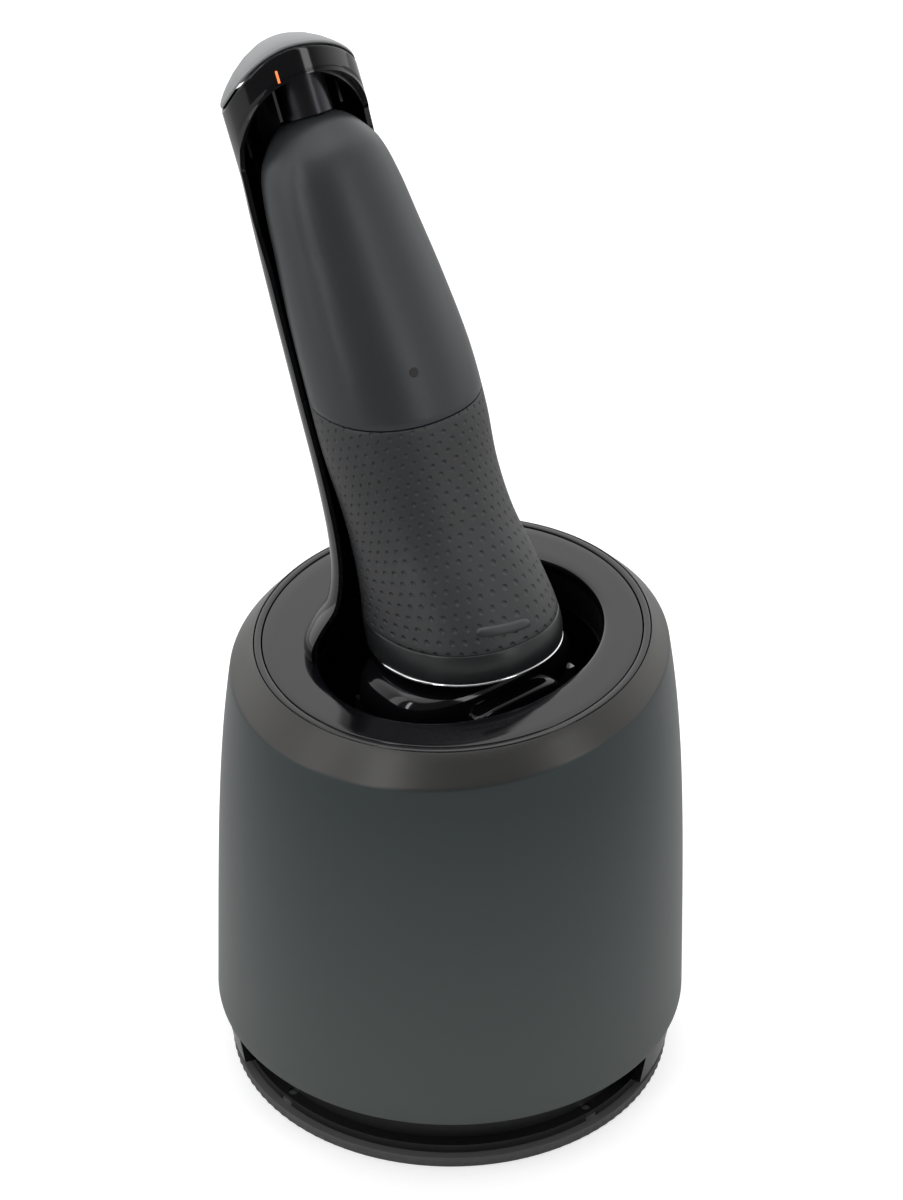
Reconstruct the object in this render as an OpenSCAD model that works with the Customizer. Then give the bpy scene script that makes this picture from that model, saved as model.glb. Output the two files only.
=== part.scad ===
// Shaver cleaning and charging station with a shaver docked in it.
// Frame: origin at the middle of the base on the table, +Z up, +Y towards the
// arm, -Y the side that the docked shaver's back faces. The dock is symmetric
// about X = 0. The service side of the base (mouth, cartridge) is turned.

/* [Base] */
// How far the rubber ring under the base stands inside the drum's lower rim
foot_inset = 3.5; // [2:0.1:6]
// Height of the rubber ring
foot_h = 3.3; // [2:0.1:5]
// Thickness of the base tray's floor
tray_floor = 2.5; // [2:0.1:4]
// How far the top of the base skirt stands inside the drum's lower rim
skirt_inset = 1.2; // [0.8:0.1:3]
// Wall of the base skirt
skirt_wall = 3.4; // [2.5:0.1:5]
// Turn of the service side about the vertical, from the dock's front
service_turn = -44; // [-60:1:-30]
// Half angle of the mouth in the base skirt
mouth_half = 62; // [40:1:70]
// Travel of the release button
release_travel = 2.2; // [1:0.1:3]

/* [Drum] */
// Height of the drum's lower rim above the table
rim_z = 17.3; // [14:0.1:22]
// Radius of the drum at its lower rim
drum_r = 62.4; // [62:0.1:70]
// Height from the lower rim to the shoulder edge, on the drum's axis
drum_h = 105.1; // [95:0.1:120]
// How much the drum narrows evenly up to the shoulder
drum_taper = 3.0; // [1:0.1:5]
// How much more it rounds in towards the shoulder
drum_round = 3.5; // [1:0.1:5]
// Wall of the drum
drum_wall = 2.2; // [1.6:0.1:3]
// Sideways tilt of the shoulder, the border ring and the deck
deck_tilt = 4.2; // [0:0.1:6]
// Rise of the chamfer from the shoulder to the border ring
chamfer_rise = 5.8; // [4:0.1:8]
// How far the border ring stands inside the shoulder
border_inset = 5.2; // [3:0.1:7]
// Width of the border ring
border_w = 2.2; // [1.5:0.1:3]
// Travel of the drum when it springs up to free the cartridge
lift_travel = 24; // [10:1:26]

/* [Deck and dish] */
// Thickness of the deck
deck_t = 2.4; // [2:0.1:3]
// Width of the deck at either side of the opening
deck_side = 10.35; // [8:0.05:12]
// Width of the deck in front of and behind the opening, on average
deck_front = 15.35; // [13:0.05:17]
// How far the opening's middle lies in front of the drum's axis
mouth_shift = 3.5; // [0:0.1:6]
// Depth of the wash dish below the deck
dish_depth = 46; // [42:0.1:50]
// Wall of the wash dish
dish_wall = 1.8; // [1.4:0.1:2.4]

/* [Arm and hood] */
// Lean of the arm and of the docked shaver from the vertical
lean = 25.8; // [22:0.1:28]
// Half width of the hood
hood_a = 18.4; // [17.5:0.1:20]
// Half depth of the hood
hood_b = 15.7; // [15:0.1:17]
// Wall of the hood and of the arm
arm_wall = 1.3; // [1:0.1:1.6]
// Height of the hood's band over the shaver's end
hood_rise = 18.2; // [17:0.1:20]
// Thickness of the key that roofs the hood
key_t = 1.6; // [1.4:0.1:2]
// Travel of that key
key_travel = 0.4; // [0.3:0.1:0.8]
// Radius of the contact plug
plug_r = 6.4; // [5:0.1:7]

/* [Shaver] */
// Length of the handle from the bright trim line to its end
handle_l = 136.8; // [130:0.1:145]
// Wall of the handle's shells
shell_wall = 2; // [1.5:0.1:2.5]
// Height of the smooth collar above the trim line
collar_h = 8.3; // [6:0.1:9]
// Height of the shaver's head below the trim line
head_h = 31; // [28:0.1:34]
// Half width of the shaver's head
head_a = 29; // [26:0.1:31]
// Half depth of the shaver's head
head_b = 17; // [14:0.1:19]
// Travel of the power button
power_travel = 0.8; // [0.4:0.1:1]
// Travel of the head lock slider
lock_travel = 2.4; // [1:0.1:3]

/* [Hidden] */
$fn = 96;

gap = 0.3;         // clearance between pieces that face each other
fit = 0.05;        // running clearance of a post or a shaft
eps = 0.01;

// ---- levels ----
tray_z = foot_h;
floor_z = tray_z + tray_floor;
shoulder_z = rim_z + drum_h;
deck_z = shoulder_z + chamfer_rise + 0.1;
ring_y = -5.5;                 // the trim line's middle over the dock
ring_z = deck_z;
carrier_z = 70;                // underside of the carrier plate
carrier_t = 3;
mouth_y = -mouth_shift;

// ---- shared radii ----
foot_r = drum_r - foot_inset;
skirt_r = drum_r - skirt_inset;
skirt_low_r = foot_r + 0.5;
tray_r = skirt_low_r - skirt_wall + 0.7; // the skirt stands on the tray's rim
shoulder_r = drum_r - drum_taper - drum_round;
border_r = shoulder_r - border_inset;
deck_r = border_r - border_w - gap / 2;
mouth_a = deck_r - deck_side;  // half width of the opening
mouth_b = deck_r - deck_front; // half depth of it
far = 3 * drum_r;              // longer than anything that is cut
ledge_z = -deck_t - 0.1;       // ledge under the deck, in the deck's frame

// ---- cartridge ----
tank_l = 2 * (drum_r - 24.4);  // leaves room for the posts at its ends
tank_w = 2 * (drum_r - 30.4);  // leaves a finger's room at its sides
tank_h = 52;
tank_wall = 1.6;
tank_corner = 9;
lid_h = 4;
port_r = 4;
drain_xy = [0, -8];

// ---- lift ----
post_r = 3.2;
post_x = drum_r - 12.9;
post_top = carrier_z + lift_travel + 4;
sleeve_r = post_r + 2.2;
sleeve_h = 8;
spring_z = floor_z + gap;
spring_top = carrier_z - gap;

// ---- pump ----
pump_xy = [0, drum_r - 17.4];
pump_r = 11.3;
pump_wall = 2.8;
pump_h = 12;
suction_xy = [-1, pump_xy[1] - pump_r + 0.8];
motor_r = 9.8;
motor_h = 21;
shaft_r = 1.2;
pipe_r = 2.6;

// ---------- helpers ----------
function drum_radius(z) = let (t = (z - rim_z) / drum_h)
  drum_r - drum_taper * t - drum_round * pow(t, 4);

function oval(a, b, n = 64, power = 2) = [for (i = [0 : n - 1])
  let (t = 360 * i / n, c = cos(t), s = sin(t))
  [a * sign(c) * pow(abs(c), 2 / power), b * sign(s) * pow(abs(s), 2 / power)]];

module service() { rotate([0, 0, service_turn]) children(); }

module deck_frame() {
  translate([0, 0, deck_z]) rotate([0, -deck_tilt, 0]) children();
}

// Frame of the arm: origin at the shaver's end, +Z along the lean.
module arm_frame() {
  translate([0, ring_y, ring_z]) rotate([-lean, 0, 0])
    translate([0, 0, handle_l]) children();
}

module oval_prism(a, b, h, n = 64, power = 2) {
  linear_extrude(h) polygon(oval(a, b, n, power));
}

module tube(r_out, r_in, h) {
  difference() {
    cylinder(r = r_out, h = h);
    translate([0, 0, -1]) cylinder(r = r_in, h = h + 2);
  }
}

// Smooth value at s from a table of [s, ...] rows, column k.
function slope(rows, i, k) = let (
    a = rows[max(i - 1, 0)], b = rows[min(i + 1, len(rows) - 1)])
  (b[k] - a[k]) / (b[0] - a[0]);
function seg(rows, s, i = 0) =
  (i >= len(rows) - 2 || s <= rows[i + 1][0]) ? i : seg(rows, s, i + 1);
function value(rows, s, k) = let (
    i = seg(rows, s), a = rows[i], b = rows[i + 1], h = b[0] - a[0],
    t = (s - a[0]) / h, m0 = slope(rows, i, k) * h,
    m1 = slope(rows, i + 1, k) * h)
  a[k] * (2 * t * t * t - 3 * t * t + 1) + m0 * (t * t * t - 2 * t * t + t)
  + b[k] * (3 * t * t - 2 * t * t * t) + m1 * (t * t * t - t * t);

// Closed skin over a list of rings that all have the same number of points.
module skin(rings) {
  n = len(rings[0]);
  m = len(rings);
  polyhedron(
    points = [for (ring = rings) for (p = ring) p],
    faces = concat(
      [[for (i = [0 : n - 1]) i]],
      [for (k = [0 : m - 2]) for (i = [0 : n - 1]) let (j = (i + 1) % n)
        each [[k * n + i, (k + 1) * n + i, k * n + j],
              [k * n + j, (k + 1) * n + i, (k + 1) * n + j]]],
      [[for (i = [n - 1 : -1 : 0]) (m - 1) * n + i]]));
}

// ---------- base ----------
foot_w = 9;          // width of the foot ring
screw_r = foot_r - foot_w / 2;
module at_screws() {
  service() for (a = [0 : 90 : 270]) rotate([0, 0, a + 45])
    translate([screw_r, 0, 0]) children();
}
module at_posts() {
  service() for (s = [-1, 1]) translate([s * post_x, 0, 0]) children();
}

module foot_ring() color("dimgray") difference() {
  tube(foot_r, foot_r - foot_w, foot_h);
  at_screws() translate([0, 0, -1]) cylinder(r = 3.2, h = foot_h + 2);
}

button_y = foot_r - skirt_wall;  // inner face of the release button
button_l = 6.2;
button_a = 8;
tongue_l = 6.5;
stop_t = 2;

// Sector of the service side, half an angle to either side of it.
module mouth_sector(half) {
  polygon([[0, 0], [far * sin(half), -far * cos(half)], [far, -2 * far],
           [-far, -2 * far], [-far * sin(half), -far * cos(half)]]);
}

module base_tray() color([0.06, 0.06, 0.07]) difference() {
  translate([0, 0, tray_z]) cylinder(r = tray_r, h = tray_floor);
  at_screws() translate([0, 0, tray_z - 1]) {
    cylinder(r = 1.3, h = 20);
    cylinder(r = 3, h = 2.2);
  }
}

// Rim on the tray that holds the cartridge, with a notch for a finger.
wall_r = foot_r - 5.4;  // inner wall behind the mouth
wall_t = 1.5;
module cradle_rim() color([0.06, 0.06, 0.07]) service()
  translate([0, 0, floor_z]) linear_extrude(9) difference() {
    intersection() {
      square([tank_l + 5, tank_w + 5], center = true);
      circle(r = wall_r - wall_t - gap);
    }
    square([tank_l + 2 * gap, tank_w + 2 * gap], center = true);
    translate([-12, -tank_w / 2 - 5]) square([24, 10]);
  }

module mouth_wall() color([0.06, 0.06, 0.07]) service()
  translate([0, 0, floor_z]) linear_extrude(rim_z - floor_z - wall_t)
    intersection() {
      difference() { circle(r = wall_r); circle(r = wall_r - wall_t); }
      mouth_sector(mouth_half - 1);
    }

// Stop on the tray behind the release button.
module release_stop() color([0.06, 0.06, 0.07]) service()
  translate([-6, button_y - tongue_l - release_travel - fit - stop_t, floor_z])
    cube([12, stop_t, 6]);

module base_skirt() color([0.05, 0.05, 0.055]) difference() {
  translate([0, 0, floor_z]) difference() {
    cylinder(r1 = skirt_low_r, r2 = skirt_r, h = rim_z - floor_z - gap);
    translate([0, 0, -1]) cylinder(r = skirt_low_r - skirt_wall, h = far);
  }
  // mouth at the service side
  service() translate([0, 0, floor_z - 1]) linear_extrude(far)
    mouth_sector(mouth_half);
  // slot of the release button, opposite the mouth
  service() translate([-button_a - gap, button_y - 5, floor_z + 1.2])
    cube([2 * (button_a + gap), 20, 7.1]);
  inlet_place() translate([-6.2, -10, -3.4]) cube([12.4, 20, 6.8]);
}

module inlet_place() {
  service() rotate([0, 0, 32]) translate([0, foot_r - 0.9, 11]) children();
}

module power_inlet() color("black") inlet_place() difference() {
  translate([-6, -7.5, -5.2]) cube([12, 9, 8.4]);
  translate([0, 3, 0]) rotate([90, 0, 0]) linear_extrude(7) {
    translate([-2.5, 0]) circle(r = 2);
    translate([2.5, 0]) circle(r = 2);
    square([5, 4], center = true);
  }
  translate([-7, -3.5, -6]) cube([14, 8, 2.6]);
}

module guide_posts() color("silver") at_posts() translate([0, 0, floor_z]) {
  cylinder(r = post_r, h = post_top - floor_z);
  cylinder(r = post_r + 2.2, h = gap);
}

module lift_springs() color("silver") at_posts()
  translate([0, 0, spring_z + gap])
    tube(post_r + 1.9, post_r + 0.5, spring_top - spring_z - gap);

module base_screws() color("gray") at_screws() translate([0, 0, 0.6])
  difference() {
    union() {
      cylinder(r = 2.7, h = tray_z + 0.6);
      cylinder(r = 1.2, h = floor_z - 1);
    }
    translate([0, 0, -1]) cylinder(r = 1.2, h = 2, $fn = 6);
  }

module release_button() color([0.12, 0.12, 0.13]) service() {
  translate([-button_a, button_y, floor_z + 1.5])
    cube([2 * button_a, button_l, 6.5]);
  translate([-3, button_y - tongue_l, floor_z + gap])
    cube([6, tongue_l + 0.1, 5.5]);
}

// ---------- cartridge ----------
module tank_outline(inset) {
  r = tank_corner - inset;
  l = tank_l / 2 - tank_corner;
  w = tank_w / 2 - tank_corner;
  for (x = [-1, 1]) for (y = [-1, 1]) translate([x * l, y * w]) circle(r = r);
  square([2 * l + 2 * r, 2 * w], center = true);
  square([2 * l, 2 * w + 2 * r], center = true);
}

module cartridge_tank() color([0.10, 0.16, 0.24]) service()
  translate([0, 0, floor_z]) difference() {
    linear_extrude(tank_h) tank_outline(0);
    translate([0, 0, tank_wall]) linear_extrude(tank_h) tank_outline(tank_wall);
  }

module cartridge_lid() color([0.16, 0.24, 0.34]) difference() {
  service() translate([0, 0, floor_z + tank_h]) linear_extrude(lid_h)
    tank_outline(0);
  for (p = [suction_xy, drain_xy]) translate([p[0], p[1], floor_z + tank_h - 1])
    cylinder(r = port_r, h = lid_h + 2);
}

// ---------- drum ----------
module drum_solid(inset) {
  steps = 18;
  low = inset > 0 ? 1 : 0;
  rotate_extrude($fn = 128) polygon(concat(
    [[0, rim_z - low]],
    [for (i = [0 : steps]) let (z = rim_z + (drum_h + 12) * i / steps)
      [drum_radius(z) - inset, z - (i == 0 ? low : 0)]],
    [[0, rim_z + drum_h + 12]]));
}

module shoulder_cone(inset) deck_frame() {
  run = far;
  s = (shoulder_r - border_r) / chamfer_rise;
  translate([0, 0, -run]) cylinder(
    r1 = border_r - inset + s * run, r2 = border_r - inset, h = run - 0.1);
}

module drum_shell() color([0.13, 0.14, 0.15]) difference() {
  union() {
    difference() {
      intersection() { drum_solid(0); shoulder_cone(0); }
      intersection() { drum_solid(drum_wall); shoulder_cone(drum_wall * 1.3); }
    }
    // ledge that carries the deck
    intersection() {
      drum_solid(drum_wall / 2);
      deck_frame() translate([0, 0, ledge_z - 3]) difference() {
        cylinder(r = deck_r + 4, h = 3);
        translate([0, 0, -1]) cylinder(r = deck_r - 3, h = 5);
      }
    }
  }
  deck_frame() translate([0, 0, ledge_z]) cylinder(r = border_r, h = 20);
}

module border_ring() color([0.08, 0.08, 0.085]) deck_frame() rotate_extrude()
  polygon([[border_r - border_w, ledge_z], [border_r - 0.05, ledge_z],
           [border_r - 0.05, -0.25], [border_r - 0.3, 0.1],
           [border_r - border_w + 0.2, 0.1], [border_r - border_w, -0.1]]);

module deck() color([0.02, 0.02, 0.02]) difference() {
  deck_frame() translate([0, 0, -deck_t - 0.1])
    cylinder(r = deck_r, h = deck_t);
  translate([0, mouth_y, deck_z - 20]) oval_prism(mouth_a, mouth_b, 40);
}

// ---------- dish ----------
dish_top = deck_z - 9;
dish_bottom = deck_z - dish_depth;
flange = 3;

module dish_seal() color([0.15, 0.15, 0.16]) difference() {
  translate([0, mouth_y, dish_top]) difference() {
    oval_prism(mouth_a + flange, mouth_b + flange, 20);
    translate([0, 0, -1]) oval_prism(mouth_a + 0.2, mouth_b + 0.2, 30);
  }
  deck_frame() translate([-far / 2, -far / 2, -deck_t - 0.1])
    cube([far, far, 40]);
}

module wash_dish() color([0.04, 0.04, 0.045]) difference() {
  union() {
    difference() {
      translate([0, mouth_y, dish_bottom])
        oval_prism(mouth_a + dish_wall, mouth_b + dish_wall,
                   dish_top - dish_bottom);
      translate([0, mouth_y, dish_bottom + dish_wall])
        oval_prism(mouth_a, mouth_b, far);
    }
    translate([0, mouth_y, dish_top - 2]) difference() {
      oval_prism(mouth_a + flange, mouth_b + flange, 2);
      translate([0, 0, -1]) oval_prism(mouth_a, mouth_b, 4);
    }
    translate([drain_xy[0], drain_xy[1], dish_bottom - 3])
      cylinder(r = 6, h = 3 + eps);
  }
  translate([drain_xy[0], drain_xy[1], dish_bottom - 10])
    cylinder(r = pipe_r + 1, h = 30);
}

// Pads in the dish that carry the shaver's head, behind its tipping axis.
pad_gap = 0.5;
pad_x = 20;
module dish_pads() color([0.04, 0.04, 0.045]) for (s = [-1, 1])
  translate([s * pad_x - 3, -3, dish_bottom + dish_wall])
    cube([6, 12, ring_z - head_h - pad_gap - dish_bottom - dish_wall]);

// ---------- inside the drum ----------
carrier_top = carrier_z + carrier_t;
saddle_x = 23;

module carrier_frame() color([0.2, 0.2, 0.21]) difference() {
  union() {
    translate([0, 0, carrier_z]) cylinder(
      r = drum_radius(carrier_top) - drum_wall - gap, h = carrier_t);
    at_posts() translate([0, 0, carrier_z]) cylinder(r = sleeve_r, h = sleeve_h);
    // saddle under the dish
    for (s = [-1, 1]) translate([s * saddle_x - 3, -22, carrier_z])
      cube([6, 28, dish_bottom - carrier_z]);
  }
  at_posts() translate([0, 0, carrier_z - 1])
    cylinder(r = post_r + fit, h = 40);
  translate([drain_xy[0], drain_xy[1], carrier_z - 1])
    cylinder(r = pipe_r + 0.2, h = 10);
  translate([suction_xy[0], suction_xy[1], carrier_z - 1])
    cylinder(r = pipe_r + 0.2, h = 10);
}

module at_pump(z) { translate([pump_xy[0], pump_xy[1], z]) children(); }

module pump_housing() color([0.3, 0.3, 0.32]) difference() {
  at_pump(carrier_top) cylinder(r = pump_r, h = pump_h);
  at_pump(carrier_top + 2.5) cylinder(r = pump_r - pump_wall, h = pump_h - 5);
  at_pump(carrier_top + 2) cylinder(r = shaft_r + 0.5, h = pump_h);
  translate([suction_xy[0], suction_xy[1] + 1.2, carrier_top - 1])
    cylinder(r = pipe_r - 0.6, h = 6);
}

module pump_impeller() color("white") at_pump(carrier_top + 3.1) {
  cylinder(r = 3, h = pump_h - 6.2);
  for (a = [0 : 60 : 300]) rotate([0, 0, a]) translate([2, -0.6, 0])
    cube([5.8, 1.2, pump_h - 6.2]);
  cylinder(r = shaft_r, h = pump_h - 3.1 + motor_h + 3);
}

module pump_motor() color("silver") difference() {
  at_pump(carrier_top + pump_h) {
    cylinder(r = motor_r, h = motor_h);
    cylinder(r = 4, h = motor_h + 1.5);
  }
  at_pump(carrier_top) cylinder(r = shaft_r + fit, h = far);
}

module suction_pipe() color([0.5, 0.5, 0.52])
  translate([suction_xy[0], suction_xy[1], floor_z + 10])
    tube(pipe_r, pipe_r - 0.8, carrier_top - floor_z - 10);

module drain_pipe() color([0.5, 0.5, 0.52])
  translate([drain_xy[0], drain_xy[1], floor_z + 30])
    tube(pipe_r, pipe_r - 0.8, dish_bottom - 3 - floor_z - 30);

module main_board() color([0.05, 0.25, 0.12]) {
  translate([-15, 8, carrier_top + 1.5]) cube([30, 18, 1.6]);
  for (x = [-12, 12]) for (y = [11, 23]) translate([x, y, carrier_top])
    cylinder(r = 1.6, h = 1.6);
  translate([-8, 12, carrier_top + 3.09]) cube([9, 9, 1.4]);
  translate([4, 12, carrier_top + 3.09]) cube([7, 6, 3]);
}

// ---------- arm ----------
// Rows: distance along the shaver's axis, tilt of the section, offset of the
// rims behind the axis, half width, depth behind the rims. The lowest rows
// stand on the back half of the opening's edge, the upper ones are the hood's.
hood_y = 6.7;        // the hood's middle, behind the shaver's axis
hood_low = -8;       // lower edge of the hood's band, from the shaver's end
top_s = handle_l + hood_low;
arm_rows = [
  [-4, 0, mouth_y + mouth_b / 2 - ring_y + 1.7, mouth_a * cos(30) + 1.3,
   mouth_b / 2 + 0.8],
  [0, 1, 18.2, mouth_a - 2.7, 17.2],
  [4, 3, 16.4, mouth_a - 3.2, 17],
  [9, 7, 14.3, mouth_a - 5.8, 16.6],
  [16, 13, 11.4, 27.6, 16],
  [28, 20, 10, 23.8, 14.8],
  [46, lean, 10, 21.6, 13.5],
  [72, lean, 10, 20.5, 12.4],
  [100, lean, 9.4, 19.6, 12],
  [116, lean, 8.3, 19, 13.2],
  [top_s, lean, hood_y, hood_a, hood_b],
  [handle_l + 20, lean, hood_y, hood_a, hood_b]];
arm_sides = 22;
arm_steps = 26;

// Point at offset (x, b) on the section at s.
function on_section(s, tilt, x, b) =
  [x, ring_y + sin(lean) * s + cos(tilt) * b,
   ring_z + cos(lean) * s - sin(tilt) * b];

function arm_arc(s, inset, t0, t1, steps, back) =
  [for (i = [0 : steps]) let (t = t0 + (t1 - t0) * i / steps,
      a = value(arm_rows, s, 3) - inset, b = value(arm_rows, s, 4) - inset)
    on_section(s, value(arm_rows, s, 1), a * cos(t),
               value(arm_rows, s, 2) + b * sin(t) - back)];

function reversed(v) = [for (i = [len(v) - 1 : -1 : 0]) v[i]];

module arm_skin(s0, s1, steps, out, wall, t0, t1, sides) {
  skin([for (k = [0 : steps]) let (s = s0 + (s1 - s0) * k / steps)
    concat(arm_arc(s, out, t0, t1, sides, 0),
           reversed(arm_arc(s, out + wall, t0, t1, sides, 0)))]);
}

module arm_shell() color([0.02, 0.02, 0.022]) difference() {
  arm_skin(-4, top_s, arm_steps, 0, arm_wall, 0, 180, arm_sides);
  deck_frame() translate([-far / 2, -far / 2, -40]) cube([far, far, 40]);
}

channel = 1.3;       // depth of the cable channel along the arm
liner_t = 0.8;
module arm_liner() color([0.03, 0.03, 0.03])
  arm_skin(24, top_s, 14, arm_wall + channel, liner_t, 54, 126, 8);

module arm_harness() color([0.3, 0.3, 0.3])
  arm_skin(22, handle_l + 7.6, 16, arm_wall + 0.1, 1, 80, 100, 3);

// ---------- hood ----------
arch_top = 10.6;     // crown of the arch over the shaver's end
arch_low = -9.2;     // level of its springings
arch_a = 18.6;       // half width there
arch_turn = -15;     // turn of the arch about the arm's axis
roof_turn = -26;     // turn of the roof's ridge about it
roof_r = 60;         // radius along the ridge
roof_peak = -12.5;   // the ridge's highest place, from the hood's middle
roof_side = 24;      // radius across the ridge
key_gap = 0.5;
key_rim = 0.6;       // thickness of the key's rim
core_depth = 5.2;    // top of the hood's core below the roof
core_t = 1.6;
end_b = 2;           // middle of the shaver's end, behind its axis

module hood_oval(inset, z0 = hood_low, z1 = hood_rise + 9) {
  translate([0, hood_y, z0]) oval_prism(hood_a - inset, hood_b - inset, z1 - z0);
}

// Frame on the roof's ridge: origin on the axis of its long radius.
module roof_frame(turn = 0) {
  translate([0, hood_y, 0]) rotate([0, 0, roof_turn])
    translate([0, roof_peak, hood_rise - roof_r]) rotate([-turn, 0, 0])
      children();
}

// Everything under a surface that lies the given height over the band's top.
module under_roof(rise) {
  roof_frame() rotate([0, 90, 0]) rotate_extrude($fn = 160)
    translate([roof_r - roof_side, 0]) circle(r = roof_side + rise, $fn = 120);
}

module hood_band() color([0.02, 0.02, 0.022]) arm_frame() difference() {
  intersection() { hood_oval(0); under_roof(0); }
  hood_oval(arm_wall, hood_low - 1, hood_rise + 10);
  // arch in front of the shaver's end
  translate([0, hood_y, arch_low]) rotate([0, 0, arch_turn]) rotate([90, 0, 0])
    linear_extrude(40) intersection() {
      polygon(oval(arch_a, arch_top - arch_low, 72, 2.3));
      translate([-30, 0]) square([60, 30]);
    }
  indicator_place(0.1);
}

module indicator_place(grow) {
  translate([-9.3, hood_y - 13.1, 11.9]) rotate([0, 0, -35])
    cube([1 + 2 * grow, 8, 3.2 + 2 * grow], center = true);
}

module indicator_light() color("orangered") arm_frame() intersection() {
  indicator_place(0);
  difference() { hood_oval(0.1); hood_oval(arm_wall + 0.6); }
}

module hood_core() color([0.03, 0.03, 0.03]) arm_frame() difference() {
  intersection() { hood_oval(arm_wall + 0.1); under_roof(-core_depth); }
  under_roof(-core_depth - core_t);
  translate([0, end_b, 0]) cylinder(r = plug_r - 2, h = far);
  translate([-5, hood_y + hood_b - 4, -far / 2]) cube([10, 8, far]);
  indicator_place(0.6);
}

module contact_plug() color([0.25, 0.25, 0.27]) arm_frame() {
  intersection() {
    translate([0, end_b, gap]) cylinder(r = plug_r, h = hood_rise);
    under_roof(-core_depth - core_t - fit);
  }
  translate([0, end_b, 6]) cylinder(r = plug_r - 2.1, h = 8.5);
}

module contact_tabs() color("silver") arm_frame() intersection() {
  for (s = [-1, 1]) translate([s * 9.3 - 0.4, end_b - 2, 0.8])
    cube([0.8, 4, hood_rise]);
  under_roof(-core_depth - core_t - fit);
}

// Switch under the key, on the slope behind the plug.
switch_turn = 17;
switch_z = roof_r - core_depth + 0.15;
module key_switch() color([0.05, 0.25, 0.12]) arm_frame()
  roof_frame(switch_turn) {
    translate([-5, -3.2, switch_z]) cube([10, 6.4, 1]);
    translate([-2, -2, switch_z]) cube([4, 4, 3.2]);
  }

module top_key() color([0.45, 0.46, 0.47]) arm_frame() {
  difference() {
    intersection() { hood_oval(0.1); under_roof(key_gap + key_rim); }
    under_roof(key_gap);
  }
  difference() {
    intersection() { hood_oval(arm_wall + gap); under_roof(key_gap + key_rim); }
    under_roof(key_gap + key_rim - key_t);
  }
  difference() {
    intersection() { hood_oval(arm_wall + gap); under_roof(key_gap); }
    hood_oval(arm_wall + gap + 1.2);
    under_roof(-2.6);
  }
  roof_frame(switch_turn) translate([0, 0, switch_z + 3.2 + key_travel + 0.1])
    cylinder(r = 1.6, h = roof_r - switch_z - 3.6 - key_travel);
}

// ---------- shaver ----------
// Rows: distance from the trim line, tilt of the section, half width, half
// depth, offset of the middle behind the axis.
handle_rows = [
  [0, 5, 23.8, 24.1, 0.3], [6, 5.4, 23.7, 25, -1], [12, 9, 23, 23.8, -1.4],
  [20, 15, 22.2, 21, -0.8], [30, 21, 21.2, 18.3, 0.3],
  [42, 25, 21.1, 17.4, 0.5], [56, lean, 22, 18, -0.1],
  [72, lean, 21.9, 17.8, -0.7], [90, lean, 20.7, 16.9, 0],
  [106, lean, 19, 15.6, 0.7], [118, lean, 17.6, 14.6, 1.3],
  [127, lean, 15.5, 13, 1.8], [132.4, lean, 12, 10, end_b],
  [handle_l - 1.4, lean, 8.8, 7.6, end_b], [handle_l, lean, 5.8, 5.3, end_b]];
handle_sides = 32;

function handle_ring(s, inset) = [for (p = oval(
    value(handle_rows, s, 2) - inset, value(handle_rows, s, 3) - inset,
    handle_sides, 2.2)) on_section(s, value(handle_rows, s, 1), p[0],
      value(handle_rows, s, 4) + p[1])];

// Levels of the rings, closer together at the shaver's end.
function levels(s0, s1, n) =
  [for (k = [0 : n]) let (t = k / n) s0 + (s1 - s0) * (1 - pow(1 - t, 1.7))];

module handle_solid(inset, s0, s1, n) {
  skin([for (s = levels(s0, s1, n)) handle_ring(s, inset)]);
}

module handle_shell() difference() {
  handle_solid(0, 0.8, handle_l, 24);
  handle_solid(shell_wall, -1, handle_l - shell_wall, 20);
}

// Frame of the handle: origin at the trim line, +Z along the lean.
module handle_frame() {
  translate([0, ring_y, ring_z]) rotate([-lean, 0, 0]) children();
}

// Box in that frame: x, offset behind the axis, distance along it.
module handle_box(x0, x1, b0, b1, s0, s1) {
  handle_frame() translate([x0, b0, s0]) cube([x1 - x0, b1 - b0, s1 - s0]);
}

// Everything above the line where the back shell meets the grip.
part_s = 66;
part_slope = 24;
module above_part_line() {
  handle_frame() translate([0, 0, part_s]) rotate([part_slope, 0, 0])
    translate([-60, -60, 0]) cube([120, 120, 120]);
}

front_a = 12;
front_top = 124;
module front_region(grow) {
  handle_box(-front_a - grow, front_a + grow, 2, 60, collar_h, front_top + grow);
}

// Frame of the neck: origin at the trim line's middle, in its plane.
neck_tilt = 5;
module neck_frame() {
  translate([0, ring_y, ring_z]) rotate([-neck_tilt, 0, 0]) children();
}

module neck_slab(z0, z1) {
  neck_frame() translate([-60, -60, z0]) cube([120, 120, z1 - z0]);
}

module below_collar() { neck_slab(-20, collar_h); }

module handle_back() color([0.16, 0.17, 0.18]) difference() {
  intersection() { handle_shell(); above_part_line(); }
  front_region(0.05);
  socket_hole(0.05);
}

module handle_grip() color([0.11, 0.12, 0.13]) difference() {
  handle_shell();
  above_part_line();
  front_region(0.05);
  below_collar();
}

module handle_front() color([0.03, 0.03, 0.035]) difference() {
  intersection() { handle_shell(); front_region(0); }
  below_collar();
  button_shape(0.3, 10);
}

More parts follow.
